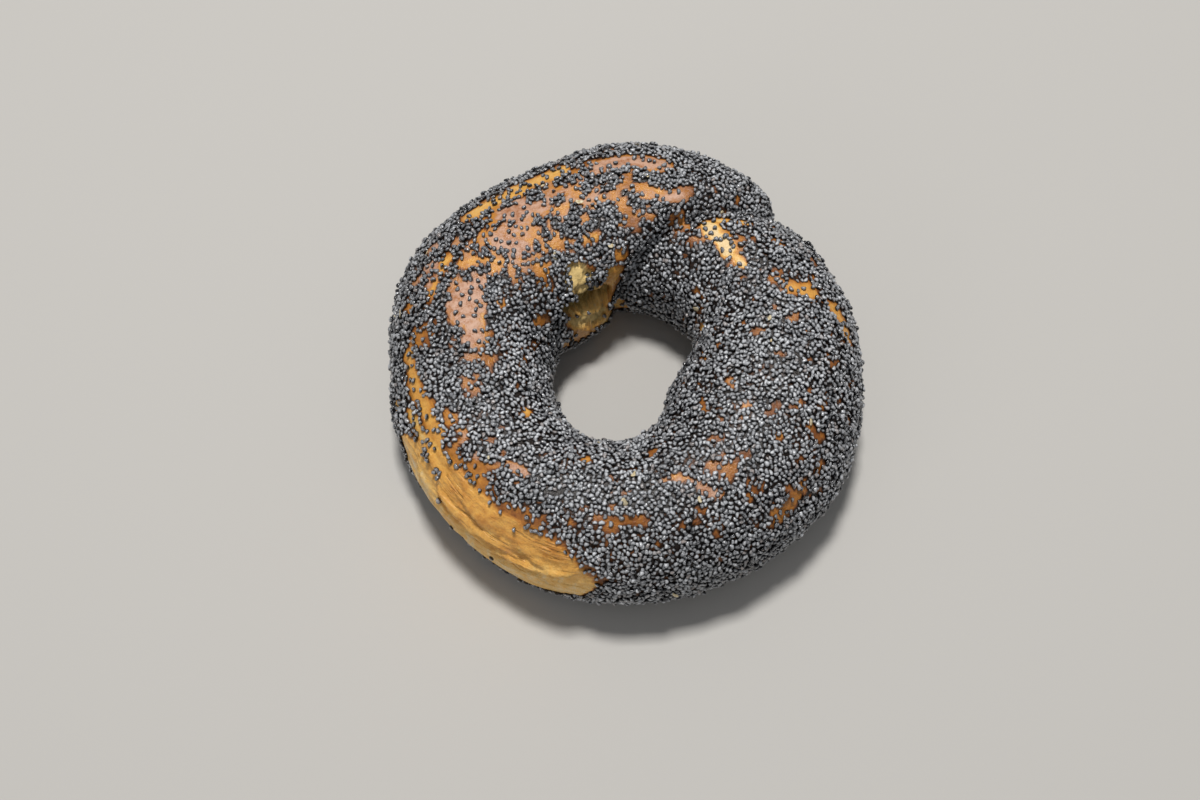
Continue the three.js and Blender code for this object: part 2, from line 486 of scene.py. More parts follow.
def seeds_missing(marks, ring, section, points):
    """The share of seeds missing at each place: the largest of a few everywhere, most where noise
    opens the thin stretches, a ragged fringe above the bare side, and nearly all in the gaps, on
    the bare side and in the tear. Tufts keep theirs, and the underside has few."""
    cluster = layered_noise(points, OPENINGS, 0.5)
    opened = 0.5 + (0.5 - marks["thin"]) * OPENING_SPAN
    thinned_out = smooth_step(opened - OPENING_EDGE, opened + OPENING_EDGE, cluster)
    missing = np.maximum(STRAY_MISSING, OPEN_MISSING * thinned_out)
    fringe = marks["side_fringe"] * (turn_between(section, BARE_SIDE[1]) > 0.0)
    fringe = smooth_step(*FRINGE_SPAN, fringe + FRINGE_FRAY * (cluster - 0.5))
    missing = np.maximum(missing, FRINGE_MISSING * fringe)
    out = np.hypot(points[..., 0], points[..., 1])
    torn = smooth_step(*TORN_SPAN, bell(ring, section, out, TORN))
    missing = np.maximum(missing, (GAP_MISSING + TORN_MISSING * torn) * marks["bare"])
    missing = np.maximum(missing, SIDE_MISSING * marks["side"])
    missing = np.maximum(missing, smooth_step(*CRUMB_SPAN, marks["crumb"]))
    for tuft in TUFTS:
        missing = missing * (1.0 - smooth_step(*TUFT_SPAN, bell(ring, section, out, tuft)))
    underside = smooth_step(*UNDERSIDE_SPAN, points[..., 2])
    return np.maximum(missing, UNDERSIDE_MISSING * underside)


# ---------------------------------------------------------------- mesh making

RING_STEPS, ROPE_STEPS = 476, 208
CREASE_CROWDING = 0.30


def skin_grid():
    """The two angles of the skin's grid. Steps round the ring stand closer at the crease, by a
    sine taken off the even steps."""
    share = np.arange(RING_STEPS) / RING_STEPS
    past = 360.0 * (share - CREASE_CROWDING * np.sin(2 * np.pi * share) / (2 * np.pi))
    section = 360.0 * np.arange(ROPE_STEPS) / ROPE_STEPS
    return np.meshgrid(past, section, indexing="ij")


def box_middle(low, high):
    """The middle of a box, from its lowest and highest corners."""
    return 0.5 * (np.array(low) + np.array(high))


def ring_axis_place():
    """Where the hole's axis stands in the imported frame, in millimetres: the CAD box's middle less
    the middle of the plain skin's own box."""
    past, section = skin_grid()
    points = about_axis(*plain_skin(past, section)).reshape(-1, 3)
    low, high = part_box("bagel")
    shift = box_middle(low, high) / MM - box_middle(points.min(0), points.max(0))
    shift[2] = 0.0
    return shift


RING_AXIS = ring_axis_place()


def add_mesh(name, points, corners, sizes, uv, material):
    """A smooth mesh object from points in millimetres about the hole's axis, the point of each
    face corner, the corner count of each face, and the map place of each face corner."""
    mesh = bpy.data.meshes.new(name)
    mesh.vertices.add(len(points))
    mesh.vertices.foreach_set("co", ((points + RING_AXIS) * MM).astype(np.float32).ravel())
    mesh.loops.add(len(corners))
    mesh.loops.foreach_set("vertex_index", corners.astype(np.int32))
    mesh.polygons.add(len(sizes))
    starts = np.concatenate([[0], np.cumsum(sizes)[:-1]])
    mesh.polygons.foreach_set("loop_start", starts.astype(np.int32))
    mesh.polygons.foreach_set("use_smooth", np.ones(len(sizes), bool))
    mesh.update(calc_edges=True)
    layer = mesh.uv_layers.new(name="OFBake")
    layer.uv.foreach_set("vector", uv.astype(np.float32).ravel())
    mesh.materials.append(material)
    piece = bpy.data.objects.new(name, mesh)
    bpy.context.scene.collection.objects.link(piece)
    return piece


def add_attribute(piece, name, values):
    """A number (or three) at each point, for the material to read."""
    kind, field = ("FLOAT_VECTOR", "vector") if values.ndim == 2 else ("FLOAT", "value")
    layer = piece.data.attributes.new(name, kind, "POINT")
    layer.data.foreach_set(field, values.astype(np.float32).ravel())


# ---------------------------------------------------------------- material helpers


class Shading:
    """Short ways to add and join nodes in one node tree."""

    def __init__(self, tree):
        self.tree = tree

    def node(self, kind, **settings):
        made = self.tree.nodes.new(kind)
        for name, value in settings.items():
            setattr(made, name, value)
        return made

    def join(self, source, target):
        self.tree.links.new(source, target)

    def feed(self, target, value):
        if isinstance(value, bpy.types.NodeSocket):
            self.join(value, target)
        else:
            target.default_value = value

    def math(self, operation, first, second=0.0, clamp=False):
        made = self.node("ShaderNodeMath", operation=operation, use_clamp=clamp)
        self.feed(made.inputs[0], first)
        self.feed(made.inputs[1], second)
        return made.outputs[0]

    def mix(self, share, first, second):
        """One colour where the share is 0, the other where it is 1."""
        made = self.node("ShaderNodeMix", data_type="RGBA")
        self.feed(made.inputs[0], share)
        self.feed(made.inputs[6], first)
        self.feed(made.inputs[7], second)
        return made.outputs[2]

    def span(self, value, low, high, to_low=0.0, to_high=1.0):
        """A value's rise from low to high, as a smooth rise from to_low to to_high."""
        made = self.node("ShaderNodeMapRange", interpolation_type="SMOOTHSTEP")
        for socket, number in zip(made.inputs, (value, low, high, to_low, to_high)):
            self.feed(socket, number)
        return made.outputs[0]

    def noise(self, place, scale, detail, roughness):
        made = self.node("ShaderNodeTexNoise")
        self.join(place, made.inputs["Vector"])
        self.feed(made.inputs["Scale"], scale)
        made.inputs["Detail"].default_value = detail
        self.feed(made.inputs["Roughness"], roughness)
        return made.outputs["Fac"]

    def offset(self, value, share):
        """A value from 0 to 1 as a push of either sign: half the share at most."""
        return self.math("MULTIPLY", self.math("SUBTRACT", value, 0.5), share)

    def ramp(self, value, stops):
        """Colours at given values, blended between them."""
        made = self.node("ShaderNodeValToRGB")
        self.join(value, made.inputs["Fac"])
        elements = made.color_ramp.elements
        elements[0].position, elements[0].color = stops[0][0], rgb(*stops[0][1])
        elements[1].position, elements[1].color = stops[-1][0], rgb(*stops[-1][1])
        for position, colour in stops[1:-1]:
            elements.new(position).color = rgb(*colour)
        return made.outputs["Color"]

    def group(self, tree, **values):
        """A shared group placed in this tree with its own values; returns its outputs."""
        made = self.node("ShaderNodeGroup", node_tree=tree)
        for name, value in values.items():
            made.inputs[name].default_value = value
        return made.outputs

    def attribute(self, name, output="Fac"):
        return self.node("ShaderNodeAttribute", attribute_name=name).outputs[output]

    def bump(self, height, distance, strength=1.0, normal=None):
        made = self.node("ShaderNodeBump")
        made.inputs["Strength"].default_value = strength
        made.inputs["Distance"].default_value = distance
        self.join(height, made.inputs["Height"])
        if normal is not None:
            self.join(normal, made.inputs["Normal"])
        return made.outputs[0]


def new_material(name, roughness, specular):
    """A material with one plain shader, and the helper that adds nodes to it."""
    material = bpy.data.materials.new(name)
    material.use_nodes = True
    shader = material.node_tree.nodes["Principled BSDF"]
    shader.inputs["Roughness"].default_value = roughness
    shader.inputs["Specular IOR Level"].default_value = specular
    return Shading(material.node_tree), shader, material


def rgb(red, green, blue):
    """A solid colour."""
    return (red, green, blue, 1.0)


SPECKLE_FINER = 3.7  # how many times finer the speckle is than the mottle
MOTTLE_SHARE, SPECKLE_SHARE = 0.65, 0.35


def make_grain():
    """Grain that every surface here shares, as a group: a coarse mottle, a fine speckle and
    their sum as a height, all from 0 to 1, with the mottle's size in metres."""
    tree = bpy.data.node_groups.new("grain", "ShaderNodeTree")
    tree.interface.new_socket(name="Size", in_out="INPUT", socket_type="NodeSocketFloat")
    tree.interface.new_socket(name="Roughness", in_out="INPUT", socket_type="NodeSocketFloat")
    for name in ("Mottle", "Speckle", "Height"):
        tree.interface.new_socket(name=name, in_out="OUTPUT", socket_type="NodeSocketFloat")
    build = Shading(tree)
    given = build.node("NodeGroupInput").outputs
    put_out = build.node("NodeGroupOutput").inputs
    place = build.node("ShaderNodeTexCoord").outputs["Object"]
    scale = build.math("DIVIDE", 1.0, given["Size"])
    fine_scale = build.math("MULTIPLY", scale, SPECKLE_FINER)
    mottle = build.noise(place, scale, 4.0, given["Roughness"])
    speckle = build.noise(place, fine_scale, 3.0, given["Roughness"])
    coarse_part = build.math("MULTIPLY", mottle, MOTTLE_SHARE)
    fine_part = build.math("MULTIPLY", speckle, SPECKLE_SHARE)
    build.join(mottle, put_out["Mottle"])
    build.join(speckle, put_out["Speckle"])
    build.join(build.math("ADD", coarse_part, fine_part), put_out["Height"])
    return tree


# ---------------------------------------------------------------- baked crust

# Crust from pale to scorched, and near-black painted shade between seeds at the end.
CRUST_STOPS = [
    (0.0, (0.93, 0.67, 0.33)),
    (0.08, (0.95, 0.58, 0.17)),
    (0.20, (0.88, 0.46, 0.10)),
    (0.42, (0.62, 0.25, 0.040)),
    (0.66, (0.26, 0.085, 0.018)),
    (1.0, (0.012, 0.007, 0.005)),
]
PINK_LOW, PINK_HIGH = (0.43, 0.175, 0.08), (0.67, 0.41, 0.29)
# The first crumb colour is the crumb's darker yellow and also painted shade in the tear's hollow.
CRUMB_DARK_AND_SHADED, CRUMB_PALE = (0.38, 0.26, 0.07), (0.98, 0.71, 0.29)
SCORCHED_SPECK = (0.22, 0.08, 0.02)
WIDE_MOTTLE, NEAR_MOTTLE = 0.008, 0.0018  # metres
CRINKLE_SIZE, CRINKLE_WIDTH = 0.0032, 0.07  # spacing in metres, and width as a share of the noise
CRINKLE_STRETCH = (0.25, 1.0, 1.0)  # crinkles run along the rope, 4 times longer than wide
CRINKLE_BUMP, GRAIN_BUMP = (0.00028, 0.9), (0.0007, 0.7)  # depth in metres and strength
WIDE_BROWNING, NEAR_BROWNING = 0.35, 0.55  # how far the two mottles push the browning
WIDE_BLOOM, NEAR_BLOOM = 1.3, 0.9  # and the bloom
CRUST_ROUGHNESS, CRUMB_ROUGHER = (0.22, 0.46), 0.3


def crust_colour(build, wide, near):
    """Toasted by how brown it baked, with near-black painted shade between seeds in the same value,
    mottled at two sizes; a patchy pink bloom over that; crumb in the tear, darker in its hollow as
    painted shade; and scorched specks."""
    brown = build.attribute("browning_and_shade")
    brown = build.math("ADD", brown, build.offset(wide["Mottle"], WIDE_BROWNING))
    brown = build.math("ADD", brown, build.offset(near["Mottle"], NEAR_BROWNING))
    toasted = build.ramp(brown, CRUST_STOPS)
    pink = build.mix(build.span(near["Mottle"], 0.35, 0.62), rgb(*PINK_LOW), rgb(*PINK_HIGH))
    bloom = build.attribute("blush")
    bloom = build.math("ADD", bloom, build.offset(near["Mottle"], NEAR_BLOOM))
    bloom = build.math("ADD", bloom, build.offset(wide["Mottle"], WIDE_BLOOM))
    colour = build.mix(build.span(bloom, 0.35, 0.85, to_high=0.95), toasted, pink)
    paleness = build.span(near["Height"], 0.35, 0.58, to_low=0.45, to_high=1.15)
    # Painted shade: the crumb darkens where the tear lies deepest.
    paleness = build.math("SUBTRACT", paleness, build.attribute("hollow"), clamp=True)
    crumb_colour = build.mix(paleness, rgb(*CRUMB_DARK_AND_SHADED), rgb(*CRUMB_PALE))
    colour = build.mix(build.attribute("crumb"), colour, crumb_colour)
    speck = build.span(near["Speckle"], 0.60, 0.74, to_high=0.45)
    return build.mix(speck, colour, rgb(*SCORCHED_SPECK))


def crust_relief(build, wide, near):
    """Fine crinkles on the bare side, as valleys where stretched noise crosses its middle value,
    with smooth stretches between; and fine grain all over."""
    stretch = build.node("ShaderNodeMapping")
    stretch.inputs["Scale"].default_value = CRINKLE_STRETCH
    build.join(build.attribute("unrolled", "Vector"), stretch.inputs["Vector"])
    crinkle = build.noise(stretch.outputs["Vector"], 1.0 / CRINKLE_SIZE, 3.0, 0.55)
    crinkle = build.math("ABSOLUTE", build.math("SUBTRACT", crinkle, 0.5))
    crinkle = build.span(crinkle, 0.0, CRINKLE_WIDTH)
    stretches = build.span(wide["Mottle"], 0.38, 0.6)
    creased = build.math("MULTIPLY", build.attribute("wrinkled"), stretches)
    crinkle = build.math("MULTIPLY", crinkle, creased)
    return build.bump(near["Height"], *GRAIN_BUMP, build.bump(crinkle, *CRINKLE_BUMP))


def crust_material(grain):
    """Baked crust: straw where it stayed pale, gold and orange where it browned, a pink bloom on
    top, near-black painted shade between the seeds, with dull yellow crumb in the tear and painted
    shade in its hollow."""
    build, shader, material = new_material("baked_crust", 0.5, 0.5)
    wide = build.group(grain, Size=WIDE_MOTTLE, Roughness=0.5)
    near = build.group(grain, Size=NEAR_MOTTLE, Roughness=0.65)
    build.join(crust_colour(build, wide, near), shader.inputs["Base Color"])
    rougher = build.math("MULTIPLY", build.attribute("crumb"), CRUMB_ROUGHER)
    roughness = build.span(near["Mottle"], 0.3, 0.7, *CRUST_ROUGHNESS)
    roughness = build.math("ADD", roughness, rougher, clamp=True)
    build.join(roughness, shader.inputs["Roughness"])
    build.join(crust_relief(build, wide, near), shader.inputs["Normal"])
    return material


# ---------------------------------------------------------------- poppy seed and husk

# Painted shade: near black on the side of each seed that faces the crust.
SEED_PAINTED_SHADE = (0.009, 0.009, 0.012)
SEED_DARK, SEED_PALE = (0.030, 0.032, 0.040), (0.77, 0.79, 0.83)
SEED_WARM = (0.24, 0.15, 0.10)
RIDGE_PALE = (0.80, 0.82, 0.86)
NET_MESH = 0.00028  # width of the meshes of the raised net, in metres
NET_BUMP = (0.00003, 0.6)  # depth in metres and strength
NET_PALER = 0.5  # how much of its paler colour a ridge shows
DUST_SIZE, DUST_PATCHY = 0.0007, 0.9
SEED_ROUGHNESS = (0.15, 0.32)

HUSK_DARK, HUSK_PALE = (0.50, 0.37, 0.17), (0.86, 0.78, 0.58)
FIBRE_SIZE = 0.0005
FIBRE_BUMP = (0.00008, 0.6)
HUSK_ROUGHNESS = (0.55, 0.8)


def seed_material(grain):
    """Dry poppy seed: painted shade, near black, on its side towards the crust, with a blue-grey
    bloom on its outer side that is paler on the ridges of a fine raised net."""
    build, shader, material = new_material("poppy_seed", 0.4, 0.9)
    net = build.node("ShaderNodeTexVoronoi", feature="DISTANCE_TO_EDGE")
    build.join(build.node("ShaderNodeTexCoord").outputs["Object"], net.inputs["Vector"])
    net.inputs["Scale"].default_value = 1.0 / NET_MESH
    ridge = build.span(net.outputs["Distance"], 0.02, 0.25, to_low=1.0, to_high=0.0)
    dust = build.group(grain, Size=DUST_SIZE, Roughness=0.6)
    dusting = build.offset(dust["Mottle"], DUST_PATCHY)
    # Painted shade: from the seed's own colour on its outer side to near black towards the crust,
    # with a patchy edge.
    bloom = build.span(build.math("ADD", build.attribute("outer"), dusting), -0.05, 1.05)
    dusty = build.mix(build.attribute("tone"), rgb(*SEED_DARK), rgb(*SEED_PALE))
    dusty = build.mix(build.attribute("warmth"), dusty, rgb(*SEED_WARM))
    dusty = build.mix(build.math("MULTIPLY", ridge, NET_PALER), dusty, rgb(*RIDGE_PALE))
    build.join(build.mix(bloom, rgb(*SEED_PAINTED_SHADE), dusty), shader.inputs["Base Color"])
    roughness = build.span(dust["Speckle"], 0.35, 0.65, *SEED_ROUGHNESS)
    build.join(roughness, shader.inputs["Roughness"])
    build.join(build.bump(ridge, *NET_BUMP), shader.inputs["Normal"])
    return material


def husk_material(grain):
    """Dry straw-coloured husk, streaked and rough."""
    build, shader, material = new_material("husk_flake", 0.7, 0.3)
    fibre = build.group(grain, Size=FIBRE_SIZE, Roughness=0.6)
    pale = build.span(fibre["Mottle"], 0.3, 0.7)
    build.join(build.mix(pale, rgb(*HUSK_DARK), rgb(*HUSK_PALE)), shader.inputs["Base Color"])
    roughness = build.span(fibre["Speckle"], 0.3, 0.7, *HUSK_ROUGHNESS)
    build.join(roughness, shader.inputs["Roughness"])
    build.join(build.bump(fibre["Height"], *FIBRE_BUMP), shader.inputs["Normal"])
    return material


# ---------------------------------------------------------------- the bread

# How brown the skin is: near-black painted shade between seeds; in the openings of the coat,
# browning partly darkened as painted shade from the seeds round them; and low down.
# The first pair is painted shade: near black past the crust ramp's end where the seeds cover the
# crust, lightened a little by noise. The opening's browning is partly painted shade from the seeds
# round a small opening, lighter in thin stretches.
SHADE_BETWEEN_SEEDS, SHADE_BETWEEN_LIGHTER = 1.2, 0.30
OPENING_BROWN_AND_SHADE, THIN_LIGHTER = 0.62, 0.18
SIDE_BROWN, SIDE_LIGHTER = 0.30, 0.24  # on the bare side, and how much less low down
SIDE_PALE_FROM = 48.0  # section angle from which it pales downwards
SHADE_BETWEEN_DRIFT = [(5.0, 0.5, 72)]
OPEN_SPAN = (0.12, 0.60)  # shares of seeds missing between which the coat counts as open
LIGHTER_SPAN = (0.15, 0.45)  # thinness over which the open crust grows lighter
BASE_SPAN = (2.0, 0.6)  # heights over which it takes on the browning of the underside
BLUSH_SHARE, BLUSH_DRIFT = 0.40, [(6.0, 0.9, 71)]
BLUSH_SPAN = (0.1, 0.3)  # thinness over which the open crust takes on a bloom
HOLLOW_SHADE_DEPTHS = (1.2, 3.4)  # depths of the tear between which its crumb darkens, as painted shade in the hollow


def bread_browning(marks, section, points, open_coat):
    """How brown each place baked, with painted shade: from near-black painted shade between seeds
    to the open crust where the coat opens, darker in small openings as painted shade from the seeds
    round them, then each gap's own browning, then the bare side's, paler low down."""
    underside = smooth_step(*BASE_SPAN, points[..., 2])
    low = smooth_step(SIDE_PALE_FROM, 0.0, turn_between(section, 0.0))
    # Painted shade: near black where the seeds lie, lighter where the coat opens.
    between = SHADE_BETWEEN_SEEDS - SHADE_BETWEEN_LIGHTER * layered_noise(marks["straight"], SHADE_BETWEEN_DRIFT, 0.5)
    opening = OPENING_BROWN_AND_SHADE - THIN_LIGHTER * smooth_step(*LIGHTER_SPAN, marks["thin"])
    brown = between + (opening - between) * np.maximum(open_coat, underside)
    brown = brown + (marks["brown"] - brown) * marks["inside"]
    side_brown = SIDE_BROWN - SIDE_LIGHTER * low
    return brown + (side_brown - brown) * marks["side"] * (1.0 - underside)


def bread_blush(marks, open_coat):
    """How much pink bloom each place has: patches of it in the openings of thin stretches, then
    each gap's own bloom, and none on the bare side."""
    blush = np.clip(layered_noise(marks["straight"], BLUSH_DRIFT, BLUSH_SHARE), 0.0, 1.0)
    blush = blush * smooth_step(*BLUSH_SPAN, marks["thin"]) * open_coat
    blush = blush * (1.0 - marks["side_fringe"])
    blush = blush + (marks["blush"] - blush) * marks["inside"]
    return blush * (1.0 - marks["side"])


def make_bread(material):
    """The whole skin as one closed grid, which joins up round the ring and round the rope."""
    past, section = skin_grid()
    points, marks, ring = skin(past, section)
    i, j = np.meshgrid(np.arange(RING_STEPS), np.arange(ROPE_STEPS), indexing="ij")
    step_i = np.stack([i, i + 1, i + 1, i], -1)
    step_j = np.stack([j, j, j + 1, j + 1], -1)
    corners = (step_i % RING_STEPS) * ROPE_STEPS + step_j % ROPE_STEPS
    uv = np.stack([step_i / RING_STEPS, step_j / ROPE_STEPS], -1)
    sizes = np.full(RING_STEPS * ROPE_STEPS, 4)
    bread = add_mesh("bread", points.reshape(-1, 3), corners.ravel(), sizes, uv, material)
    open_coat = smooth_step(*OPEN_SPAN, seeds_missing(marks, ring, section, points))
    # The browning also carries the painted shade between and round the seeds.
    browning_and_shade = bread_browning(marks, section, points, open_coat)
    add_attribute(bread, "browning_and_shade", browning_and_shade.ravel())
    add_attribute(bread, "blush", bread_blush(marks, open_coat).ravel())
    add_attribute(bread, "crumb", marks["crumb"].ravel())
    # How deep the tear lies, read by the crust as painted shade in its hollow.
    add_attribute(bread, "hollow", smooth_step(*HOLLOW_SHADE_DEPTHS, marks["crumb_depth"]).ravel())
    add_attribute(bread, "wrinkled", marks["side"].ravel())
    add_attribute(bread, "unrolled", marks["straight"].reshape(-1, 3) * MM)
    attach(bread, "root")
    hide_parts("bagel")
    return points


# ---------------------------------------------------------------- the seeds

SEED_LONG, SEED_WIDE, SEED_THICK = 0.62, 0.50, 0.42  # half lengths
SEED_SIDES, SEED_BANDS = 8, 4
DIMPLE_DEPTH, DIMPLE_REACH = 0.22, 0.4
BEND_MIDDLE, BEND_DROP = 0.16, 0.34  # the bead's middle line at its middle, its drop to the ends
SEED_TOP = 36.0  # height that no seed stands above
SLOPE_STEP = 0.25  # degrees between the places that give the slope of the skin

# The coat in layers: places tried, spacing, clearance from the seeds already laid, height of the
# seed's middle over the skin, size of the seed, how many times shyer of thin places it is, and
# whether it lies in clumps on top of the others.
SEED_LAYERS = [
    (110000, 0.83, 0.0, 0.29, 1.00, 1.0, False),
    (75000, 0.70, 0.71, 0.20, 0.82, 3.0, False),
    (50000, 1.02, 0.68, 0.74, 0.96, 3.0, True),
]
CLUMPS = [(3.2, 1.0, 83)]
CLUMPED_OVER = -0.12  # value of that noise over which seeds lie on top
CLUMPED_ABOVE = 3.0  # height above which they do
SECTORS = 8
SEED_DRAW = 7  # start of the random numbers, so that every run lays the same coat

ROCK = 0.42  # how far a seed is tipped on the skin
SIZE_SPREAD, SIZE_LIMITS = 0.09, (0.78, 1.22)
STOUT_SPREAD, STOUT_LIMITS = 0.06, (0.85, 1.18)
LIFT_SPREAD = 0.10
BEND_ALLOWANCE = 1.12  # how much further than its axes a bent seed reaches up and down

# Tone, from 0 for a seed that lost its pale bloom to 1 for one that kept it all.
TONE_SHAPE = (0.8, 0.95)  # of the beta distribution
LONE_LOSS = 0.8  # share of its tone that a lone seed lost
THIN_LONE = 1.5  # how lone a seed is in a thin stretch, times the share missing there
TONE_DRIFT = [(9.0, 0.18, 81), (2.8, 0.22, 82)]
PALE_COAT, PALE_GAIN = (215, 105, 24.0, 14.0), 0.22  # a patch of seeds paler than the rest
DARK_COAT, DARK_LOSS = (140, 78, 36.0, 17.0), 0.30  # and one of darker seeds
WARM_SHARE, WARM_MOST = 0.13, 0.8  # share of the seeds that are brownish, and how much at most


def seed_points():
    """Half lengths of 1: a bead whose radius follows a circle, pinched on its inner side by a bell
    curve, with its middle line bent to a parabola that drops towards -Y at both ends. Returns the
    rings of points and the two end points."""
    along = -np.cos(np.pi * np.arange(1, SEED_BANDS) / SEED_BANDS)
    around = 2 * np.pi * np.arange(SEED_SIDES) / SEED_SIDES
    t, a = np.meshgrid(along, around, indexing="ij")
    pinch = DIMPLE_DEPTH * np.exp(-((t / DIMPLE_REACH) ** 2)) * np.maximum(-np.cos(a), 0)
    girth = np.sqrt(1.0 - t**2) * (1.0 - pinch)
    bend = BEND_MIDDLE - BEND_DROP * t**2
    rings = np.stack([t, girth * np.cos(a) + bend, girth * np.sin(a)], -1).reshape(-1, 3)
    end_bend = BEND_MIDDLE - BEND_DROP
    return np.vstack([rings, [[-1.0, end_bend, 0.0], [1.0, end_bend, 0.0]]])


def seed_shape():
    """The seed's points, and its faces side by side: a triangle at each end and squares between.
    Returns points, face corners, sizes and uv."""
    points = seed_points()
    first, last = len(points) - 2, len(points) - 1
    corners, sizes, uv = [], [], []
    for k in range(SEED_SIDES):
        n = (k + 1) % SEED_SIDES
        low, high, centre = k / SEED_SIDES, (k + 1) / SEED_SIDES, (k + 0.5) / SEED_SIDES
        corners += [first, n, k]
        sizes.append(3)
        uv += [(centre, 0.0), (high, 1 / SEED_BANDS), (low, 1 / SEED_BANDS)]
        for b in range(SEED_BANDS - 2):
            here, there = b * SEED_SIDES, (b + 1) * SEED_SIDES
            corners += [here + k, here + n, there + n, there + k]
            sizes.append(4)
            bottom, top = (b + 1) / SEED_BANDS, (b + 2) / SEED_BANDS
            uv += [(low, bottom), (high, bottom), (high, top), (low, top)]
        top_ring = (SEED_BANDS - 2) * SEED_SIDES
        corners += [top_ring + k, top_ring + n, last]
        sizes.append(3)
        uv += [(low, 1 - 1 / SEED_BANDS), (high, 1 - 1 / SEED_BANDS), (centre, 1.0)]
    return points, np.array(corners), np.array(sizes), np.array(uv)


def random_places(count, points, random):
    """Past-crease and section angles of places spread evenly over the skin's area: a grid cell
    drawn by its share of the area, then a random place in it."""
    along = np.linalg.norm(np.roll(points, -1, 0) - points, axis=-1)
    across = np.linalg.norm(np.roll(points, -1, 1) - points, axis=-1)
    area = np.cumsum((along * across).ravel())
    cell = np.searchsorted(area, random.random(count) * area[-1])
    i, j = np.divmod(cell, ROPE_STEPS)
    starts = skin_grid()[0][:, 0]
    widths = np.diff(np.append(starts, 360.0))
    past = starts[i] + widths[i] * random.random(count)
    section = 360.0 * (j + random.random(count)) / ROPE_STEPS
    return past, section


def thinned(points, spacing, wanted, taken, clear):
    """Which of the wanted points to keep so that no two stand closer than the spacing, nor closer
    than `clear` to one already taken. Points are tried in turn, against those in the cells round
    their own."""
    width = max(spacing, clear)
    cells = {}

    def cell_of(x, y, z):
        return int(x // width), int(y // width), int(z // width)

    for x, y, z in taken.tolist():
        cells.setdefault(cell_of(x, y, z), []).append((x, y, z, clear * clear))
    kept = []
    steps = [(a, b, c) for a in (-1, 0, 1) for b in (-1, 0, 1) for c in (-1, 0, 1)]
    for index in np.flatnonzero(wanted).tolist():
        x, y, z = points[index].tolist()
        i, j, k = cell_of(x, y, z)
        near = (p for a, b, c in steps for p in cells.get((i + a, j + b, k + c), ()))
        if all((p[0] - x) ** 2 + (p[1] - y) ** 2 + (p[2] - z) ** 2 >= p[3] for p in near):
            cells.setdefault((i, j, k), []).append((x, y, z, spacing * spacing))
            kept.append(index)
    return np.array(kept, int)


def unit(vectors):
    """Vectors brought to a length of 1."""
    return vectors / (np.linalg.norm(vectors, axis=-1, keepdims=True) + TINY)


def skin_frame(past, section):
    """Points, outward normals and along-the-ring directions of the skin, by small steps: the
    normal is the cross product of a step along the ring and a step round the rope."""
    middle, marks, ring = skin(past, section)
    along = unit(skin(past + SLOPE_STEP, section)[0] - middle)
    across = skin(past, section + SLOPE_STEP)[0] - middle
    normal = unit(np.cross(along, across))
    return middle, normal, along, marks, ring


def lay_seeds(middle, normal, along, lift, scale, random):
    """Places and turns of the seeds: each lies flat on the skin, turned at random about the
    skin's normal and rocked a little. Returns centres and three axes scaled to its size."""
    count = len(middle)
    turn = random.random(count) * 2 * np.pi
    side = unit(np.cross(normal, along))
    along = np.cross(side, normal)
    long_axis = np.cos(turn)[:, None] * along + np.sin(turn)[:, None] * side
    rock = random.normal(0.0, ROCK, (count, 2))
    up = normal + rock[:, :1] * long_axis + rock[:, 1:] * np.cross(normal, long_axis)
    up /= np.linalg.norm(up, axis=-1, keepdims=True)
    wide_axis = np.cross(up, long_axis)
    wide_axis /= np.linalg.norm(wide_axis, axis=-1, keepdims=True)
    long_axis = np.cross(wide_axis, up)
    size = scale * np.clip(random.normal(1.0, SIZE_SPREAD, count), *SIZE_LIMITS)[:, None]
    stout = np.clip(random.normal(1.0, STOUT_SPREAD, (count, 3)), *STOUT_LIMITS)
    centre = middle + normal * (lift * size + random.normal(0.0, LIFT_SPREAD, (count, 1)))
    axes = np.stack([
        long_axis * SEED_LONG * size * stout[:, :1],
        wide_axis * SEED_WIDE * size * stout[:, 1:2],
        up * SEED_THICK * size * stout[:, 2:],
    ], axis=1)
    reach = BEND_ALLOWANCE * np.linalg.norm(axes[:, :, 2], axis=1)
    centre[:, 2] = np.clip(centre[:, 2], reach, SEED_TOP - reach)
    return centre, axes


def seed_tones(middle, ring, section, lone, random):
    """Each seed's tone: a beta distribution, less on lone seeds, drifting over the coat with
    noise, higher in the pale patch and lower in the dark one."""
    out = np.hypot(middle[:, 0], middle[:, 1])
    drift = layered_noise(middle, TONE_DRIFT)
    drift = drift + PALE_GAIN * bell(ring, section, out, PALE_COAT)
    drift = drift - DARK_LOSS * bell(ring, section, out, DARK_COAT)
    bloom = random.beta(*TONE_SHAPE, len(middle)) * (1.0 - LONE_LOSS * np.minimum(lone, 1.0))
    return np.clip(bloom + drift, 0.0, 1.0)


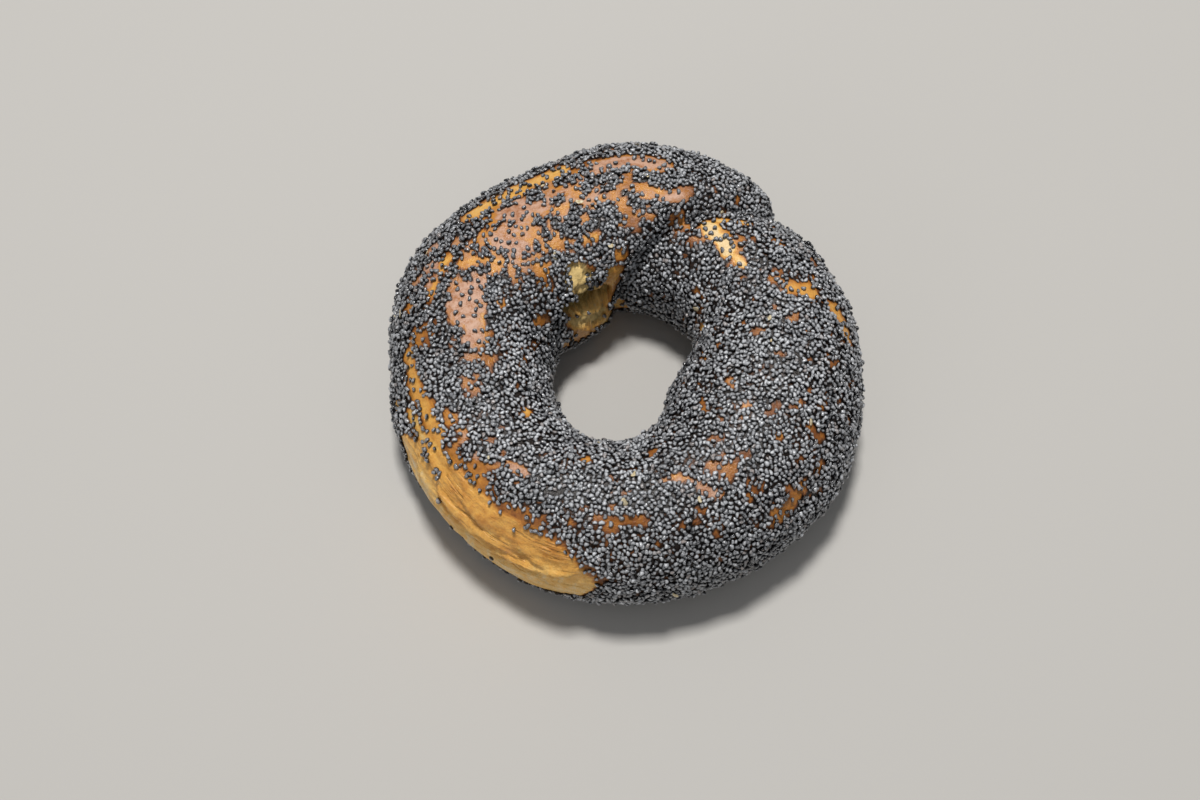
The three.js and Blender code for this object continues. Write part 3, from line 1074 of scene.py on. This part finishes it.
def lay_coat(skin_points, random):
    """The coat: a layer of seeds a spacing apart, small ones in the gaps between them, and some
    in clumps on top. A place that is bare stays bare in every layer. Lone seeds are the darkest,
    because they lost their bloom. Returns centres, axes, ring angles and tones."""
    taken = np.zeros((0, 3))
    laid = []
    for tried, spacing, clear, lift, scale, shyness, on_top in SEED_LAYERS:
        past, section = random_places(tried, skin_points, random)
        middle, normal, along, marks, ring = skin_frame(past, section)
        missing = seeds_missing(marks, ring, section, middle) * shyness
        wanted = random.random(tried) > missing
        if on_top:
            clumped = layered_noise(middle, CLUMPS) > CLUMPED_OVER
            wanted = wanted & clumped & (middle[:, 2] > CLUMPED_ABOVE)
        raised = middle + normal * lift
        kept = thinned(raised, spacing, wanted, taken, clear)
        taken = np.vstack([taken, raised[kept]])
        centre, axes = lay_seeds(middle[kept], normal[kept], along[kept], lift, scale, random)
        lone = np.maximum(np.maximum(marks["bare"], marks["side"]), THIN_LONE * marks["thin"])
        tone = seed_tones(middle[kept], ring[kept], section[kept], lone[kept], random)
        laid.append((centre, axes, ring[kept] % 360.0, tone))
    return [np.concatenate(part) for part in zip(*laid)]


def make_seeds(skin_points, material):
    """The seeds as one piece for each eighth of the ring."""
    random = np.random.default_rng(SEED_DRAW)
    centre, axes, ring, tone = lay_coat(skin_points, random)
    warm = random.random(len(centre)) < WARM_SHARE
    warmth = np.where(warm, random.random(len(centre)) * WARM_MOST, 0.0)
    for sector in range(SECTORS):
        chosen = np.flatnonzero((ring // (360.0 / SECTORS)).astype(int) == sector)
        name = "poppy_seeds_%d" % (sector + 1)
        picked = (part[chosen] for part in (centre, axes, tone, warmth))
        seeds = add_seeds(name, *picked, material)
        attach(seeds, "root")


MAP_MARGIN = 0.06  # share of a seed's cell of the map left empty on each side


def add_seeds(name, centre, axes, tone, warmth, material):
    """One piece of many seeds, each with its own cell of the map: the seed's shape times the
    three axes, plus the centre."""
    shape, corners, sizes, uv = seed_shape()
    count = len(centre)
    points = centre[:, None] + np.einsum("vk,nkd->nvd", shape, axes)
    first = np.arange(count) * len(shape)
    columns = math.ceil(math.sqrt(count))
    cell = np.stack(np.divmod(np.arange(count), columns)[::-1], -1)
    places = (cell[:, None] + MAP_MARGIN + (1.0 - 2.0 * MAP_MARGIN) * uv[None]) / columns
    piece = add_mesh(name, points.reshape(-1, 3), (first[:, None] + corners).ravel(),
                     np.tile(sizes, count), places, material)
    # Height of each point over the seed's middle, away from the crust; the seed material turns it
    # into painted shade.
    add_attribute(piece, "outer", np.tile(shape[:, 2], count))
    add_attribute(piece, "tone", np.repeat(tone, len(shape)))
    add_attribute(piece, "warmth", np.repeat(warmth, len(shape)))
    return piece


# ---------------------------------------------------------------- husk flakes

FLAKE_LONG, FLAKE_WIDE, FLAKE_THICK = 0.95, 0.6, 0.10  # half lengths
FLAKE_SIZES = (0.6, 1.1)
FLAKE_LIFT = 0.75  # height of a flake's middle over the skin
FLAKES_ABOVE = 5.0  # height above which flakes lie
FLAKES = [(126, 114), (168, 36), (57, 72), (0, 95), (26, 160), (10, 97), (151, 44), (97, 126)]
STRAY_FLAKES = 34
ON_COAT = 0.1  # most of a bare mark that a flake's place may have
FLAKE_DRAW = 11


def make_flakes(skin_points, material):
    """Thin curled flakes of husk caught on the coat: some where they catch the eye and the rest
    scattered at random. A flake is a seed's shape made wide and thin."""
    random = np.random.default_rng(FLAKE_DRAW)
    ring, section = np.array(FLAKES, float).T
    stray_past, stray_section = random_places(STRAY_FLAKES, skin_points, random)
    past = np.concatenate([(ring - crease_angle(section)) % 360.0, stray_past])
    middle, normal, along, marks, _ = skin_frame(past, np.concatenate([section, stray_section]))
    on_coat = marks["side_fringe"] + marks["bare"] < ON_COAT
    kept = on_coat & (middle[:, 2] > FLAKES_ABOVE)
    centre, axes = lay_seeds(middle[kept], normal[kept], along[kept], FLAKE_LIFT, 1.0, random)
    flat = np.array([FLAKE_LONG / SEED_LONG, FLAKE_WIDE / SEED_WIDE, FLAKE_THICK / SEED_THICK])
    axes = axes * flat[:, None] * random.uniform(*FLAKE_SIZES, (len(centre), 1, 1))
    plain = np.zeros(len(centre))
    flakes = add_seeds("husk_flakes", centre, axes, plain, plain, material)
    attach(flakes, "root")


# ---------------------------------------------------------------- light, floor and camera

CAMERA_HEIGHT_ANGLE = 68.0
CAMERA_AWAY = 0.355
CAMERA_AIM = (-5.0, -6.0, 16.0)
CAMERA_LENS = 50.0
FLOOR_HALF = 1.5
FLOOR_COLOUR = (0.58, 0.563, 0.535)

# Lamps: name, azimuth and elevation in degrees, distance and size in metres, watts, colour.
LAMPS = [
    ("window", 97, 77, 1.2, 0.18, 11.5, (1.0, 0.985, 0.96)),
    ("reflector", 228, 20, 1.2, 0.7, 1.25, (1.0, 0.97, 0.93)),
]
SKY_COLOUR = (0.93, 0.96, 1.0)
SKY_STRENGTH = 0.21


def make_floor():
    """A plain pale floor, square, at the height the bagel stands on."""
    mesh = bpy.data.meshes.new("floor")
    half = FLOOR_HALF
    corners = [(-half, -half, 0), (half, -half, 0), (half, half, 0), (-half, half, 0)]
    mesh.from_pydata(corners, [], [(0, 1, 2, 3)])
    floor = bpy.data.objects.new("floor", mesh)
    bpy.context.scene.collection.objects.link(floor)
    _, shader, material = new_material("pale_floor", 0.7, 0.2)
    shader.inputs["Base Color"].default_value = rgb(*FLOOR_COLOUR)
    mesh.materials.append(material)


def add_lamp(name, azimuth, elevation, away, size, power, colour):
    """A soft square lamp aimed at the bagel. Azimuth is counterclockwise from +X."""
    lamp = bpy.data.lights.new(name, "AREA")
    lamp.size = size
    lamp.energy = power
    lamp.color = colour
    holder = bpy.data.objects.new(name, lamp)
    a, e = math.radians(azimuth), math.radians(elevation)
    direction = np.array([math.cos(a) * math.cos(e), math.sin(a) * math.cos(e), math.sin(e)])
    holder.location = direction * away
    holder.rotation_mode = "QUATERNION"
    holder.rotation_quaternion = holder.location.to_track_quat("Z", "Y")
    bpy.context.scene.collection.objects.link(holder)


def make_lights():
    """A small high window, a wide low reflector, and an even sky."""
    for lamp in LAMPS:
        add_lamp(*lamp)
    world = bpy.data.worlds.new("studio")
    world.use_nodes = True
    background = world.node_tree.nodes["Background"]
    background.inputs["Color"].default_value = rgb(*SKY_COLOUR)
    background.inputs["Strength"].default_value = SKY_STRENGTH
    bpy.context.scene.world = world
    bpy.context.scene.view_settings.view_transform = "Standard"


def make_camera():
    """A camera tipped down at the bagel from the near side."""
    data = bpy.data.cameras.new("camera")
    data.lens = CAMERA_LENS
    data.clip_start = 0.01
    camera = bpy.data.objects.new("camera", data)
    e = math.radians(CAMERA_HEIGHT_ANGLE)
    back = np.array([0.0, -math.cos(e), math.sin(e)])
    camera.location = (np.array(CAMERA_AIM) + RING_AXIS) * MM + back * CAMERA_AWAY
    camera.rotation_euler = (math.radians(90.0 - CAMERA_HEIGHT_ANGLE), 0.0, 0.0)
    bpy.context.scene.collection.objects.link(camera)
    bpy.context.scene.camera = camera


make_camera()
make_lights()
make_floor()
grain_group = make_grain()
bread_points = make_bread(crust_material(grain_group))
make_seeds(bread_points, seed_material(grain_group))
make_flakes(bread_points, husk_material(grain_group))
